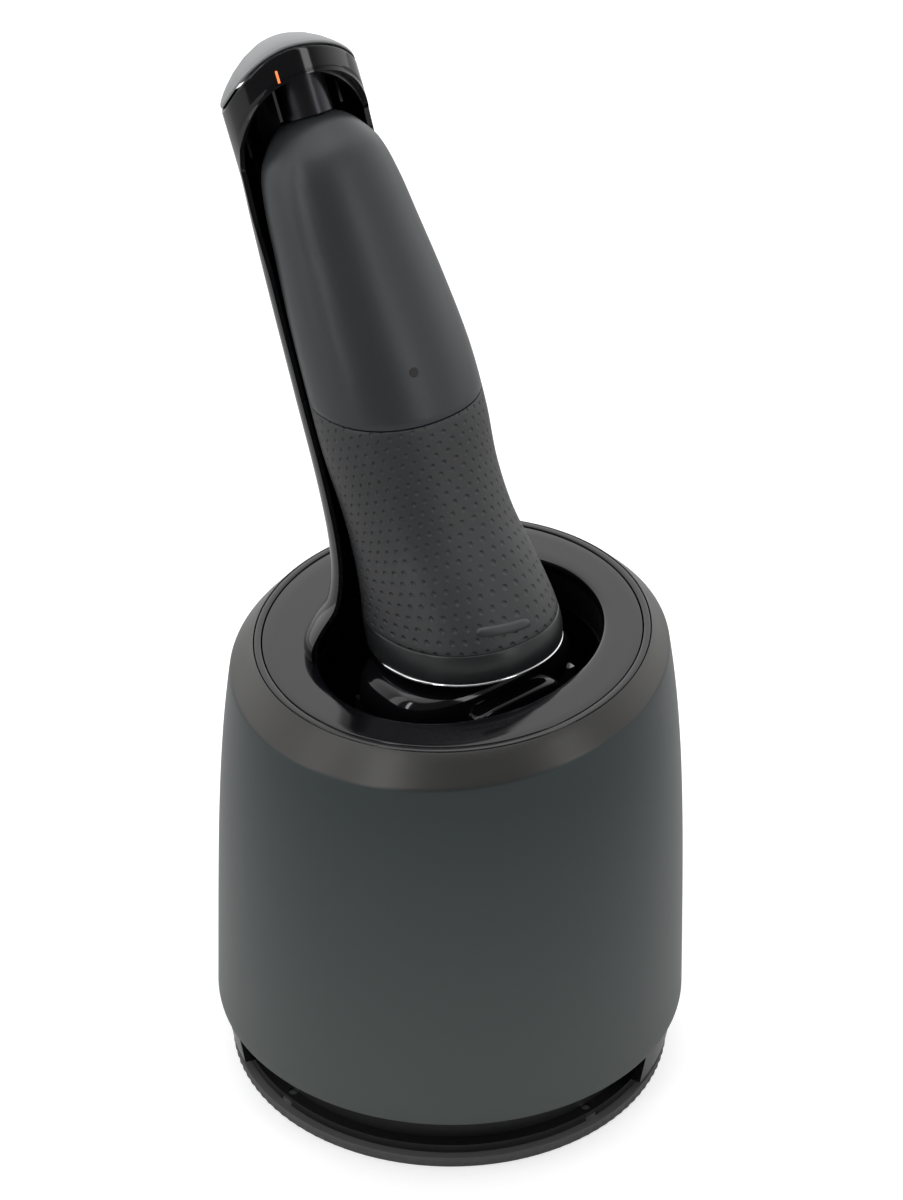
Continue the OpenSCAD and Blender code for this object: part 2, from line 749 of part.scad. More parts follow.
line_h = 0.8;        // height of the trim line
lug_low = -12.2;     // lower end of the lugs, from the trim line
module neck_collar() color([0.09, 0.09, 0.095]) {
  difference() {
    intersection() { handle_shell(); below_collar(); }
    neck_slab(-5, line_h);
  }
  // end plate with the lugs that carry the head
  difference() {
    union() {
      intersection() {
        handle_solid(0.5, 0.8, 12, 4);
        neck_slab(line_h, 3.2);
      }
      for (s = [-1, 1]) {
        translate([s * 16 - 1.5, ring_y - 4, ring_z + lug_low])
          cube([3, 8, 2 - lug_low]);
        translate([s * 17, ring_y, swivel_z]) rotate([0, s * 90, 0])
          cylinder(r = pin_r, h = 7.5);
      }
    }
    translate([0, ring_y, ring_z - 5]) cylinder(r = 5, h = 20);
  }
}

module trim_line() color([0.8, 0.8, 0.82]) neck_frame() difference() {
  row = handle_rows[0];
  translate([0, row[4], 0])
    oval_prism(row[2] + 0.2, row[3] + 0.1, line_h, 72, 2.2);
  translate([0, row[4], -1])
    oval_prism(row[2] - shell_wall, row[3] - shell_wall, 3, 72, 2.2);
}

module socket_hole(grow) {
  arm_frame() translate([0, end_b, -14]) cylinder(r = socket_r + grow, h = 20);
}

socket_r = 4.5;
module end_socket() color([0.05, 0.05, 0.05]) arm_frame() difference() {
  translate([0, end_b, -9]) cylinder(r = socket_r, h = 8.8);
  for (s = [-1, 1]) translate([s * 1.9, end_b, -6]) cylinder(r = 0.7, h = 10);
}

battery_r = 9;
battery_b = -3;
battery_s = 52;
battery_l = 50;
module battery() color([0.1, 0.3, 0.6])
  handle_frame() translate([0, battery_b, battery_s])
    cylinder(r = battery_r, h = battery_l);

// Ribs that hold the motor and the battery inside the handle.
rib_t = 2;
rib_s = [30, 70, 96];
module chassis() color([0.4, 0.4, 0.42]) difference() {
  union() {
    for (s = rib_s) intersection() {
      handle_solid(shell_wall + gap, s - 12, s + 12, 4);
      handle_box(-30, 30, -30, 30, s, s + rib_t);
    }
    for (x = [-1, 1])
      handle_box(x * 12 - 1, x * 12 + 1, -2, 2, rib_s[0], rib_s[2] + rib_t);
  }
  handle_frame() {
    translate([0, 0, drive_s]) cylinder(r = drive_r + 0.1, h = drive_l + 5);
    translate([0, battery_b, battery_s - 2])
      cylinder(r = battery_r + 0.1, h = battery_l + 10);
  }
  // notch of the circuit board
  handle_box(-board_a - 0.2, board_a + 0.2, battery_b, board_b + 1.7,
             battery_s - 2, board_s + board_l + 5);
}

drive_r = 11;
drive_s = 9;
drive_l = 25;
module drive_motor() color("silver") {
  handle_frame() translate([0, 0, drive_s]) cylinder(r = drive_r, h = drive_l);
  translate([0, ring_y, ring_z - 1.5]) cylinder(r = 1.5, h = 13);
}

board_a = 9;         // half width of the circuit board
board_b = battery_b + battery_r + gap;
board_s = 42;
board_l = 60;
module shaver_board() color([0.05, 0.25, 0.12])
  handle_box(-board_a, board_a, board_b, board_b + 1.4, board_s,
             board_s + board_l);

button_s = 58;
front_b = 17.6;      // surface of the handle's front at the button
module button_shape(grow, depth) {
  handle_frame() translate([0, front_b + power_travel, button_s])
    rotate([90, 0, 0]) oval_prism(6 + grow, 8.5 + grow, depth);
}

module power_button() color([0.2, 0.2, 0.21]) button_shape(0, 5);

swivel_z = ring_z - 10;
pin_r = 1.5;
head_top = -2.4;
head_mid = -13;
lock_a = 14;         // half width of the lock slider
lock_b = 4.2;        // half height of it
lock_z = -10.2;      // its middle, from the trim line
lock_l = 7.6;
seat_depth = 3;      // depth of its seat in the head

module head_frame() color([0.02, 0.02, 0.022]) difference() {
  translate([0, ring_y, ring_z + head_mid]) skin([
    for (r = [[0, head_a, head_b], [4, head_a, head_b + 0.6],
              [head_top - head_mid - 2.5, head_a - 0.8, head_b + 0.4],
              [head_top - head_mid, head_a - 3.5, head_b - 2]])
      [for (p = oval(r[1], r[2], 48, 2.8)) [p[0], p[1], r[0]]]]);
  translate([-20, ring_y - 9, ring_z + head_mid - 1]) cube([40, 18, 30]);
  translate([-26, ring_y, swivel_z]) rotate([0, 90, 0])
    cylinder(r = pin_r + fit, h = 52);
  // seat of the lock slider
  translate([-lock_a - gap, ring_y - head_b - 8, ring_z + head_mid - 1])
    cube([2 * (lock_a + gap), 8 + seat_depth, lock_z + lock_b + lock_travel
          + gap - head_mid + 1]);
}

module foil_cassette() color([0.6, 0.6, 0.62]) {
  foil_r = 4.2;
  pitch = 8;
  depth = head_h + head_mid;
  block_b = pitch + foil_r + 0.3;
  translate([-head_a + 3, ring_y - block_b, ring_z + head_mid - depth + 6])
    cube([2 * head_a - 6, 2 * block_b, depth - 6]);
  for (b = [-pitch, 0, pitch]) translate([-head_a + 5, ring_y + b,
      ring_z - head_h + foil_r]) rotate([0, 90, 0])
    cylinder(r = foil_r, h = 2 * head_a - 10);
}

module head_lock() color([0.02, 0.02, 0.022])
  translate([0, ring_y - head_b + seat_depth - gap, ring_z + lock_z])
    rotate([90, 0, 0]) linear_extrude(lock_l)
      polygon(oval(lock_a, lock_b, 48, 3.4));

// ---------- output ----------
foot_ring();
base_tray();
cradle_rim();
mouth_wall();
release_stop();
base_skirt();
cartridge_tank();
cartridge_lid();
guide_posts();
lift_springs();
power_inlet();
base_screws();
release_button();
drum_shell();
border_ring();
deck();
dish_seal();
wash_dish();
dish_pads();
carrier_frame();
pump_housing();
pump_motor();
pump_impeller();
suction_pipe();
drain_pipe();
main_board();
arm_shell();
arm_liner();
arm_harness();
hood_band();
hood_core();
contact_plug();
contact_tabs();
indicator_light();
key_switch();
top_key();
handle_back();
handle_grip();
handle_front();
neck_collar();
trim_line();
end_socket();
battery();
drive_motor();
shaver_board();
chassis();
power_button();
head_frame();
foil_cassette();
head_lock();
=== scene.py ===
"""Looks of a shaver cleaning station with its shaver docked.

All shapes below are in millimetres, in the part's frame, and are scaled to
metres as each mesh is made.
"""

import math

import bmesh
import bpy
from mathutils import Matrix, Vector


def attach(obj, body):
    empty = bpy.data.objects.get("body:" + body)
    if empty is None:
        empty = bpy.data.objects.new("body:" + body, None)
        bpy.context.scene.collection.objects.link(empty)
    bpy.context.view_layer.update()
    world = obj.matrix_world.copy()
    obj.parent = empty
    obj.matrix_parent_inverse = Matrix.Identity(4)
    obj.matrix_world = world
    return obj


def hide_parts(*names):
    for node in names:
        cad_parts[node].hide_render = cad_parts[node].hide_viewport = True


MM = 0.001

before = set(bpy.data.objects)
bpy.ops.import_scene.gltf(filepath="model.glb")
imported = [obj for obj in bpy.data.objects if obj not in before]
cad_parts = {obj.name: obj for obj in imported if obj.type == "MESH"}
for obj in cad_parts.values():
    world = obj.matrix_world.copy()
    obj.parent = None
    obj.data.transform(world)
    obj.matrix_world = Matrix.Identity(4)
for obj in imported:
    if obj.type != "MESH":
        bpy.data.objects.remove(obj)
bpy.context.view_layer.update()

# ---------- values shared with the part's source ----------
RIM_Z, DRUM_R, DRUM_H = 17.3, 62.4, 105.1
DRUM_TAPER, DRUM_ROUND, DRUM_WALL = 3.0, 3.5, 2.2
DECK_TILT = math.radians(4.2)
CHAMFER_RISE, BORDER_R, BORDER_W = 5.8, 50.7, 2.2
MOUTH_A, MOUTH_B, MOUTH_Y = 38.0, 33.0, -3.5
DECK_T = 2.4
LEAN = math.radians(25.8)
HOOD_A, HOOD_B, HOOD_Y = 18.4, 15.7, 6.7
HOOD_LOW, HOOD_RISE = -8.0, 18.2
ARM_WALL = 1.3
ARCH_TOP, ARCH_LOW, ARCH_A, ARCH_POWER = 10.6, -9.2, 18.6, 2.3
ARCH_TURN, ROOF_TURN = math.radians(-15), math.radians(-26)
ROOF_R, ROOF_PEAK, ROOF_SIDE = 60.0, -12.5, 24.0
KEY_GAP, KEY_RIM = 0.5, 0.6
HANDLE_L, COLLAR_H, LINE_H, END_B = 136.8, 8.3, 0.8, 2.0
NECK_TILT = math.radians(5)
HEAD_A, HEAD_B, HEAD_MID = 29.0, 17.0, -13.0
END_A, END_DEPTH = 5.8, 5.3
TRIM_A, TRIM_B, TRIM_BACK = 23.8, 24.0, 0.3
SKIN_POWER = 2.2
FRONT_A, FRONT_TOP = 12.0, 124
FOOT_IN, RIBS, RIB_DEPTH = 9, 120, 0.22
LOCK_A, LOCK_B, LOCK_Z, LOCK_SEAT = 14.0, 4.2, -10.2, 2.7
FOOT_R, FOOT_H = 58.9, 3.3
RING_Y = -5.5
DECK_Z = RIM_Z + DRUM_H + CHAMFER_RISE + 0.1
RING_Z = DECK_Z
TOP_S = HANDLE_L + HOOD_LOW
PART_S, PART_SLOPE = 66.0, math.radians(24)
SHOULDER_R = DRUM_R - DRUM_TAPER - DRUM_ROUND
CONE = (SHOULDER_R - BORDER_R) / CHAMFER_RISE

# Distance along the shaver, tilt of the section, offset of the rims behind
# the axis, half width, depth behind the rims.
ARM_ROWS = [
    (-4, 0, 20.2, 34.21, 17.3), (0, 1, 18.2, 35.3, 17.2), (4, 3, 16.4, 34.8, 17),
    (9, 7, 14.3, 32.2, 16.6), (16, 13, 11.4, 27.6, 16), (28, 20, 10, 23.8, 14.8),
    (46, 25.8, 10, 21.6, 13.5), (72, 25.8, 10, 20.5, 12.4),
    (100, 25.8, 9.4, 19.6, 12), (116, 25.8, 8.3, 19, 13.2),
    (TOP_S, 25.8, HOOD_Y, HOOD_A, HOOD_B),
    (HANDLE_L + 20, 25.8, HOOD_Y, HOOD_A, HOOD_B),
]

# Distance from the trim line, tilt of the section, half width, half depth,
# offset of the middle behind the axis.
HANDLE_ROWS = [
    (0, 5, 23.8, 24.1, 0.3), (6, 5.4, 23.7, 25, -1), (12, 9, 23, 23.8, -1.4),
    (20, 15, 22.2, 21, -0.8), (30, 21, 21.2, 18.3, 0.3),
    (42, 25, 21.1, 17.4, 0.5), (56, 25.8, 22, 18, -0.1),
    (72, 25.8, 21.9, 17.8, -0.7), (90, 25.8, 20.7, 16.9, 0),
    (106, 25.8, 19, 15.6, 0.7), (118, 25.8, 17.6, 14.6, 1.3),
    (127, 25.8, 15.5, 13, 1.8), (132.4, 25.8, 12, 10, END_B),
    (HANDLE_L - 1.4, 25.8, 8.8, 7.6, END_B), (HANDLE_L, 25.8, 5.8, 5.3, END_B),
]


# ---------- numbers ----------
def table_value(rows, s, k):
    """Smooth value at s of column k, with the slopes of its neighbours."""
    def slope(i):
        a, b = rows[max(i - 1, 0)], rows[min(i + 1, len(rows) - 1)]
        return (b[k] - a[k]) / (b[0] - a[0])
    i = 0
    while i < len(rows) - 2 and s > rows[i + 1][0]:
        i += 1
    a, b = rows[i], rows[i + 1]
    h = b[0] - a[0]
    t = (s - a[0]) / h
    return (a[k] * (2 * t ** 3 - 3 * t * t + 1)
            + slope(i) * h * (t ** 3 - 2 * t * t + t)
            + b[k] * (3 * t * t - 2 * t ** 3)
            + slope(i + 1) * h * (t ** 3 - t * t))


def on_section(s, tilt, x, b):
    """Point at offset (x, b) on the tilted section at s along the shaver."""
    return (x, RING_Y + math.sin(LEAN) * s + math.cos(tilt) * b,
            RING_Z + math.cos(LEAN) * s - math.sin(tilt) * b)


def arm_point(x, y, z):
    """Point in the arm's frame, whose origin is the shaver's end."""
    return on_section(HANDLE_L + z, LEAN, x, y)


def oval(a, b, t, power=2.0):
    c, s = math.cos(t), math.sin(t)
    return (a * math.copysign(abs(c) ** (2 / power), c),
            b * math.copysign(abs(s) ** (2 / power), s))


def roof(x, y, rise):
    """Height, in the arm's frame, of the surface at a rise over the band."""
    c, s = math.cos(ROOF_TURN), math.sin(ROOF_TURN)
    u, v = x * c + (y - HOOD_Y) * s, (y - HOOD_Y) * c - x * s
    along = ROOF_R - ROOF_SIDE + math.sqrt((ROOF_SIDE + rise) ** 2 - u * u)
    return HOOD_RISE - ROOF_R + math.sqrt(along ** 2 - (v - ROOF_PEAK) ** 2)


def ease(low, high, value):
    f = max(0.0, min(1.0, (value - low) / (high - low)))
    return f * f * (3 - 2 * f)


def rim_drop(t):
    """How far the hood's crease lies under that surface, most at its left."""
    turn = -math.degrees(t) % 360
    return (0.6 * ease(45, 105, turn) + 2.2 * ease(105, 185, turn)) \
        * (1 - ease(190, 250, turn))


def neck_point(x, y, z):
    """Point in the neck's frame, which is tilted towards the arm."""
    c, s = math.cos(NECK_TILT), math.sin(NECK_TILT)
    return (x, RING_Y + y * c + z * s, RING_Z - y * s + z * c)


def neck_height(p):
    return ((p[1] - RING_Y) * math.sin(NECK_TILT)
            + (p[2] - RING_Z) * math.cos(NECK_TILT))


def deck_point(x, y, z):
    """Point in the deck's frame, which is tilted sideways."""
    c, s = math.cos(DECK_TILT), math.sin(DECK_TILT)
    return (x * c - z * s, y, DECK_Z + x * s + z * c)


def deck_local(p):
    c, s = math.cos(DECK_TILT), math.sin(DECK_TILT)
    dz = p[2] - DECK_Z
    return (p[0] * c + dz * s, p[1], -p[0] * s + dz * c)


def steps(a, b, n):
    return [a + (b - a) * i / n for i in range(n + 1)]


# ---------- meshes ----------
def make(name, verts, faces, body, mat, replaces=(), bevel=0.0,
         angle=38, merge=False, wall=0.0):
    """A smooth mesh in millimetres that rides on a body. With a wall, the
    mesh is an open skin whose first face looks out."""
    mesh = bpy.data.meshes.new(name)
    mesh.from_pydata([tuple(c * MM for c in v) for v in verts], [], faces)
    bm = bmesh.new()
    bm.from_mesh(mesh)
    if merge:
        bmesh.ops.remove_doubles(bm, verts=bm.verts, dist=2e-6)
    if not wall:
        bmesh.ops.recalc_face_normals(bm, faces=bm.faces)
    for f in bm.faces:
        f.smooth = True
    for e in bm.edges:
        if len(e.link_faces) == 2:
            e.smooth = e.calc_face_angle(0) < math.radians(angle)
    bm.to_mesh(mesh)
    bm.free()
    obj = bpy.data.objects.new(name, mesh)
    bpy.context.scene.collection.objects.link(obj)
    mesh.materials.append(mat)
    if wall:
        mod = obj.modifiers.new("wall", "SOLIDIFY")
        mod.thickness = wall * MM
        mod.offset = -1
    if bevel:
        mod = obj.modifiers.new("edge", "BEVEL")
        mod.width = bevel * MM
        mod.segments = 3
        mod.limit_method = "ANGLE"
        mod.angle_limit = math.radians(angle)
        mod.harden_normals = True
    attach(obj, body)
    if replaces:
        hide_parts(*replaces)
    return obj


def loft(rings, closed=True, first=False, last=False, skip=None):
    """Vertices and faces of a skin over rings of equal length."""
    n = len(rings[0])
    verts = [p for ring in rings for p in ring]
    faces = []
    for k in range(len(rings) - 1):
        for i in range(n if closed else n - 1):
            if skip and skip(k, i):
                continue
            j = (i + 1) % n
            faces.append((k * n + i, k * n + j, (k + 1) * n + j,
                          (k + 1) * n + i))
    if first:
        faces.append(tuple(range(n - 1, -1, -1)))
    if last:
        faces.append(tuple((len(rings) - 1) * n + i for i in range(n)))
    return verts, faces


def turned(profile, n, place):
    """A closed ring: the profile's loop of (radius, height) turned round."""
    rings = []
    for i in range(n):
        t = 2 * math.pi * i / n
        rings.append([place(r * math.cos(t), r * math.sin(t), z)
                      for r, z in profile])
    rings.append(rings[0])
    return rings


# ---------- materials ----------
def nodes_of(mat):
    mat.use_nodes = True
    tree = mat.node_tree
    return tree, tree.nodes["Principled BSDF"]


def material(name, color, rough, metal=0.0, coat=0.0, coat_rough=0.03,
             spec=0.5, grain=None, blotch=None, emit=None):
    """grain is (scale, strength, distance) of a fine bump; blotch is
    (scale, amount) of a soft change in roughness."""
    mat = bpy.data.materials.new(name)
    tree, shader = nodes_of(mat)
    shader.inputs["Base Color"].default_value = (*color, 1)
    shader.inputs["Roughness"].default_value = rough
    shader.inputs["Metallic"].default_value = metal
    shader.inputs["Coat Weight"].default_value = coat
    shader.inputs["Coat Roughness"].default_value = coat_rough
    shader.inputs["Specular IOR Level"].default_value = spec
    if emit:
        shader.inputs["Emission Color"].default_value = (*emit[:3], 1)
        shader.inputs["Emission Strength"].default_value = emit[3]
    if grain or blotch:
        where = tree.nodes.new("ShaderNodeTexCoord")
    if grain:
        noise = tree.nodes.new("ShaderNodeTexNoise")
        noise.inputs["Scale"].default_value = grain[0]
        noise.inputs["Detail"].default_value = 3
        bump = tree.nodes.new("ShaderNodeBump")
        bump.inputs["Strength"].default_value = grain[1]
        bump.inputs["Distance"].default_value = grain[2]
        tree.links.new(where.outputs["Object"], noise.inputs["Vector"])
        tree.links.new(noise.outputs["Fac"], bump.inputs["Height"])
        tree.links.new(bump.outputs["Normal"], shader.inputs["Normal"])
    if blotch:
        cloud = tree.nodes.new("ShaderNodeTexNoise")
        cloud.inputs["Scale"].default_value = blotch[0]
        span = tree.nodes.new("ShaderNodeMapRange")
        span.inputs["To Min"].default_value = rough - blotch[1]
        span.inputs["To Max"].default_value = rough + blotch[1]
        tree.links.new(where.outputs["Object"], cloud.inputs["Vector"])
        tree.links.new(cloud.outputs["Fac"], span.inputs["Value"])
        tree.links.new(span.outputs["Result"], shader.inputs["Roughness"])
    return mat


def math_node(tree, kind, a, b=None):
    node = tree.nodes.new("ShaderNodeMath")
    node.operation = kind
    for i, v in enumerate((a, b)):
        if v is None:
            continue
        if isinstance(v, (int, float)):
            node.inputs[i].default_value = v
        else:
            tree.links.new(v, node.inputs[i])
    return node.outputs[0]


def dotted(mat, pitch_u, pitch_v, radius, depth):
    """Staggered dimples laid out on the mesh's UV, which is in millimetres."""
    tree, shader = nodes_of(mat)
    uv = tree.nodes.new("ShaderNodeUVMap")
    uv.uv_map = "skin"
    split = tree.nodes.new("ShaderNodeSeparateXYZ")
    tree.links.new(uv.outputs[0], split.inputs[0])
    v = math_node(tree, "DIVIDE", split.outputs[1], pitch_v)
    row = math_node(tree, "FLOOR", v)
    odd = math_node(tree, "MODULO", row, 2)
    u = math_node(tree, "ADD",
                  math_node(tree, "DIVIDE", split.outputs[0], pitch_u),
                  math_node(tree, "MULTIPLY", odd, 0.5))
    du = math_node(tree, "MULTIPLY", math_node(
        tree, "SUBTRACT", math_node(tree, "FRACT", u), 0.5), pitch_u)
    dv = math_node(tree, "MULTIPLY", math_node(
        tree, "SUBTRACT", math_node(tree, "FRACT", v), 0.5), pitch_v)
    far = math_node(tree, "SQRT", math_node(
        tree, "ADD", math_node(tree, "MULTIPLY", du, du),
        math_node(tree, "MULTIPLY", dv, dv)))
    span = tree.nodes.new("ShaderNodeMapRange")
    span.interpolation_type = "SMOOTHSTEP"
    span.inputs["From Min"].default_value = radius * 0.35
    span.inputs["From Max"].default_value = radius
    tree.links.new(far, span.inputs["Value"])
    bump = tree.nodes.new("ShaderNodeBump")
    bump.inputs["Strength"].default_value = 1.0
    bump.inputs["Distance"].default_value = depth * MM
    tree.links.new(span.outputs["Result"], bump.inputs["Height"])
    tree.links.new(bump.outputs["Normal"], shader.inputs["Normal"])


DRUM = material("graphite_satin", (0.07, 0.08, 0.08), 0.38, metal=0.6,
                grain=(5200, 0.10, 0.0001))
CHAMFER = material("graphite_edge", (0.055, 0.054, 0.052), 0.34, metal=0.5,
                   grain=(5200, 0.12, 0.0001))
GLOSS = material("gloss_black", (0.004, 0.004, 0.005), 0.09, spec=0.5,
                 blotch=(40, 0.03))
RING = material("ring_black", (0.012, 0.012, 0.013), 0.22)
KEY = material("key_grey", (0.21, 0.215, 0.22), 0.38, grain=(4000, 0.05, 0.0001))
BASE = material("base_black", (0.010, 0.010, 0.011), 0.45)
SKIRT = material("skirt_black", (0.008, 0.008, 0.009), 0.12)
FOOT = material("foot_rubber", (0.10, 0.10, 0.10), 0.75,
                grain=(2500, 0.2, 0.0001))
DISH = material("dish_black", (0.003, 0.003, 0.0035), 0.30)
SEAL = material("seal_rubber", (0.006, 0.006, 0.0065), 0.5)
SHELL = material("shell_charcoal", (0.034, 0.037, 0.040), 0.38, metal=0.15,
                 grain=(6500, 0.16, 0.0001))
GRIP = material("grip_rubber", (0.028, 0.029, 0.031), 0.5)
GRIP_PLAIN = material("grip_plain", (0.028, 0.029, 0.031), 0.42)
FRONT = material("front_black", (0.006, 0.006, 0.007), 0.14)
COLLAR = material("collar_black", (0.014, 0.015, 0.016), 0.34)
LINE = material("line_chrome", (0.80, 0.80, 0.82), 0.12, metal=1.0)
HEAD = material("head_black", (0.004, 0.004, 0.005), 0.10)
BUTTON = material("button_grey", (0.03, 0.03, 0.032), 0.4)
STEEL = material("steel_satin", (0.55, 0.55, 0.56), 0.3, metal=1.0)
PLUG = material("plug_dark", (0.045, 0.045, 0.05), 0.28, metal=0.9)
INNER = material("inner_plastic", (0.03, 0.03, 0.03), 0.6)
GREEN = material("board_green", (0.02, 0.12, 0.05), 0.5)
WHITE = material("white_plastic", (0.7, 0.7, 0.68), 0.5)
BLUE = material("cartridge_blue", (0.012, 0.03, 0.07), 0.35)
LID = material("lid_blue", (0.03, 0.07, 0.13), 0.4)
TUBE = material("clear_tube", (0.35, 0.35, 0.36), 0.4)
CELL = material("cell_blue", (0.03, 0.09, 0.28), 0.4)
LAMP = material("light_orange", (0.9, 0.15, 0.03), 0.3,
                emit=(1.0, 0.22, 0.08, 1.2))

def painted_shade_ramp(mat, low, high, foot, head):
    """Painted shade: colour that goes from foot to head between two heights, standing in
    for light and shade.
    """
    tree, shader = nodes_of(mat)
    where = tree.nodes.new("ShaderNodeTexCoord")
    split = tree.nodes.new("ShaderNodeSeparateXYZ")
    span = tree.nodes.new("ShaderNodeMapRange")
    span.inputs["From Min"].default_value = low * MM
    span.inputs["From Max"].default_value = high * MM
    ramp = tree.nodes.new("ShaderNodeValToRGB")
    ramp.color_ramp.elements[0].color = (*foot, 1)
    ramp.color_ramp.elements[1].color = (*head, 1)
    tree.links.new(where.outputs["Object"], split.inputs[0])
    tree.links.new(split.outputs[2], span.inputs["Value"])
    tree.links.new(span.outputs["Result"], ramp.inputs["Fac"])
    tree.links.new(ramp.outputs["Color"], shader.inputs["Base Color"])


# painted shade: the drum's colour is lighter at its foot and darker towards its top,
# standing in for how light falls on it
painted_shade_ramp(DRUM, RIM_Z, RIM_Z + 95, (0.105, 0.118, 0.114), (0.045, 0.055, 0.057))
dotted(GRIP, 2.95, 2.45, 0.66, 0.45)

CAD_LOOKS = {
    "base_tray": BASE, "cradle_rim": BASE, "mouth_wall": BASE,
    "release_stop": BASE, "dish_pads": DISH, "base_skirt": SKIRT, "cartridge_tank": BLUE,
    "cartridge_lid": LID, "guide_posts": STEEL, "lift_springs": STEEL,
    "power_inlet": INNER, "base_screws": STEEL, "release_button": BUTTON,
    "dish_seal": SEAL, "wash_dish": DISH, "carrier_frame": INNER,
    "pump_housing": INNER, "pump_motor": STEEL, "pump_impeller": WHITE,
    "suction_pipe": TUBE, "drain_pipe": TUBE, "main_board": GREEN,
    "arm_liner": DISH, "arm_harness": INNER, "hood_core": DISH,
    "contact_plug": PLUG, "contact_tabs": PLUG, "key_switch": GREEN,
    "end_socket": INNER, "battery": CELL, "drive_motor": STEEL,
    "shaver_board": GREEN, "chassis": INNER, "power_button": BUTTON,
    "foil_cassette": STEEL,
}
for node_name, look in CAD_LOOKS.items():
    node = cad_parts[node_name]
    node.data.materials.clear()
    node.data.materials.append(look)


# ---------- drum ----------
def drum_radius(z):
    t = (z - RIM_Z) / DRUM_H
    return DRUM_R - DRUM_TAPER * t - DRUM_ROUND * t ** 4


def shoulder(azimuth, inset=0.0):
    """Height at which the drum meets the tilted chamfer cone."""
    low, high = RIM_Z + 60, RIM_Z + DRUM_H + 12
    for _ in range(40):
        mid = (low + high) / 2
        r = drum_radius(mid) - inset
        p = deck_local((r * math.cos(azimuth), r * math.sin(azimuth), mid))
        out = math.hypot(p[0], p[1]) - (BORDER_R - inset - CONE * p[2])
        low, high = (mid, high) if out < 0 else (low, mid)
    return (low + high) / 2


def drum():
    n, rows = 200, 34  # columns round the drum, rows up its wall
    rings = []
    for i in range(n):
        a = 2 * math.pi * i / n
        c, s = math.cos(a), math.sin(a)

        def wall(z, inset):
            r = drum_radius(z) - inset
            return (r * c, r * s, z)
        top = shoulder(a)
        edge = deck_local(wall(top, 0))
        turn = math.atan2(edge[1], edge[0])
        rim = (BORDER_R * math.cos(turn), BORDER_R * math.sin(turn))
        column = [wall(60, DRUM_WALL), wall(RIM_Z + 0.5, DRUM_WALL),
                  wall(RIM_Z, DRUM_WALL - 0.4), wall(RIM_Z, 0.7),
                  wall(RIM_Z + 0.08, 0.35), wall(RIM_Z + 0.3, 0.08)]
        column += [wall(z, 0) for z in steps(RIM_Z + 0.7, top - 0.75, rows)]
        r_edge = math.hypot(edge[0], edge[1])
        ux, uy = math.cos(turn), math.sin(turn)

        def cone(f, drop=0.0):
            r = r_edge + (BORDER_R - r_edge) * f
            return deck_point(r * ux, r * uy, edge[2] * (1 - f) - drop)
        near, far = Vector(wall(top - 0.75, 0)), Vector(cone(0.1))
        tip = Vector(wall(top, 0))
        for t in (0.25, 0.5, 0.75):
            column.append(tuple(near * (1 - t) ** 2 + tip * 2 * t * (1 - t)
                                + far * t * t))
        column += [cone(f) for f in (0.1, 0.4, 0.7, 0.93)]
        column += [deck_point(rim[0] * f, rim[1] * f, -d)
                   for f, d in ((0.9985, 0.08), (0.9965, 0.3), (0.996, 1.5))]
        rings.append(column)
    rings.append(rings[0])
    verts, faces = loft(rings, closed=False)
    skin = make("drum_skin", verts, faces, "drum", DRUM,
                replaces=("drum_shell",), angle=80, merge=True)
    skin.data.materials.append(CHAMFER)
    for face in skin.data.polygons:
        if face.normal.z > 0.4:
            face.material_index = 1


def border():
    lip = BORDER_R - BORDER_W
    profile = [(lip, -DECK_T), (BORDER_R - 0.35, -DECK_T),
               (BORDER_R - 0.35, -0.35), (BORDER_R - 0.42, -0.08),
               (BORDER_R - 0.7, 0.08), (lip + 0.5, 0.08), (lip + 0.2, -0.02),
               (lip + 0.06, -0.25)]
    verts, faces = loft(turned(profile, 200, deck_point))
    make("border_trim", verts, faces, "drum", RING,
         replaces=("border_ring",), angle=50, merge=True)


def deck_height(x):
    return DECK_Z - 0.1 + x * math.tan(DECK_TILT)


def deck():
    out = BORDER_R - BORDER_W - 0.2
    rings = []
    for i in range(200):
        t = 2 * math.pi * i / 200
        ox, oy = MOUTH_A * math.cos(t), MOUTH_Y + MOUTH_B * math.sin(t)
        far = deck_point(out * math.cos(t), out * math.sin(t), -0.1)
        away = Vector((far[0] - ox, far[1] - oy))
        away.normalize()

        def lip(d, drop):
            x, y = ox + away.x * d, oy + away.y * d
            return (x, y, deck_height(x) - drop)
        column = [lip(0, DECK_T), lip(0, 1.4), lip(0.12, 0.8), lip(0.45, 0.35),
                  lip(0.95, 0.1), lip(1.6, 0.0)]
        near = lip(1.6, 0)
        for f in (0.25, 0.5, 0.75):
            x = near[0] + (far[0] - near[0]) * f
            y = near[1] + (far[1] - near[1]) * f
            column.append((x, y, deck_height(x)))
        for d, drop in ((0.35, 0.0), (0.1, 0.06), (0.0, 0.3), (0.0, DECK_T)):
            column.append(deck_point((out - d) * math.cos(t),
                                     (out - d) * math.sin(t), -0.1 - drop))
        rings.append(column)
    rings.append(rings[0])
    verts, faces = loft(rings)
    make("deck_plate", verts, faces, "drum", GLOSS,
         replaces=("deck",), angle=60, merge=True)


# ---------- arm and hood ----------
def on_arch(t):
    """Place of the hood's point at t across the arch and towards its front."""
    c, s = math.cos(ARCH_TURN), math.sin(ARCH_TURN)
    x, y = HOOD_A * math.cos(t), HOOD_B * math.sin(t)
    return x * c + y * s, x * s - y * c


def solve(low, high, above):
    """Place between low and high at which above() turns true."""
    for _ in range(40):
        mid = (low + high) / 2
        low, high = (low, mid) if above(mid) else (mid, high)
    return (low + high) / 2


RIGHT_T = solve(-math.pi / 2, math.pi / 4, lambda t: on_arch(t)[1] < 0)
LEFT_T = RIGHT_T + math.pi
TOP_T = solve(-math.pi, 0, lambda t: on_arch(t)[0] > 0)


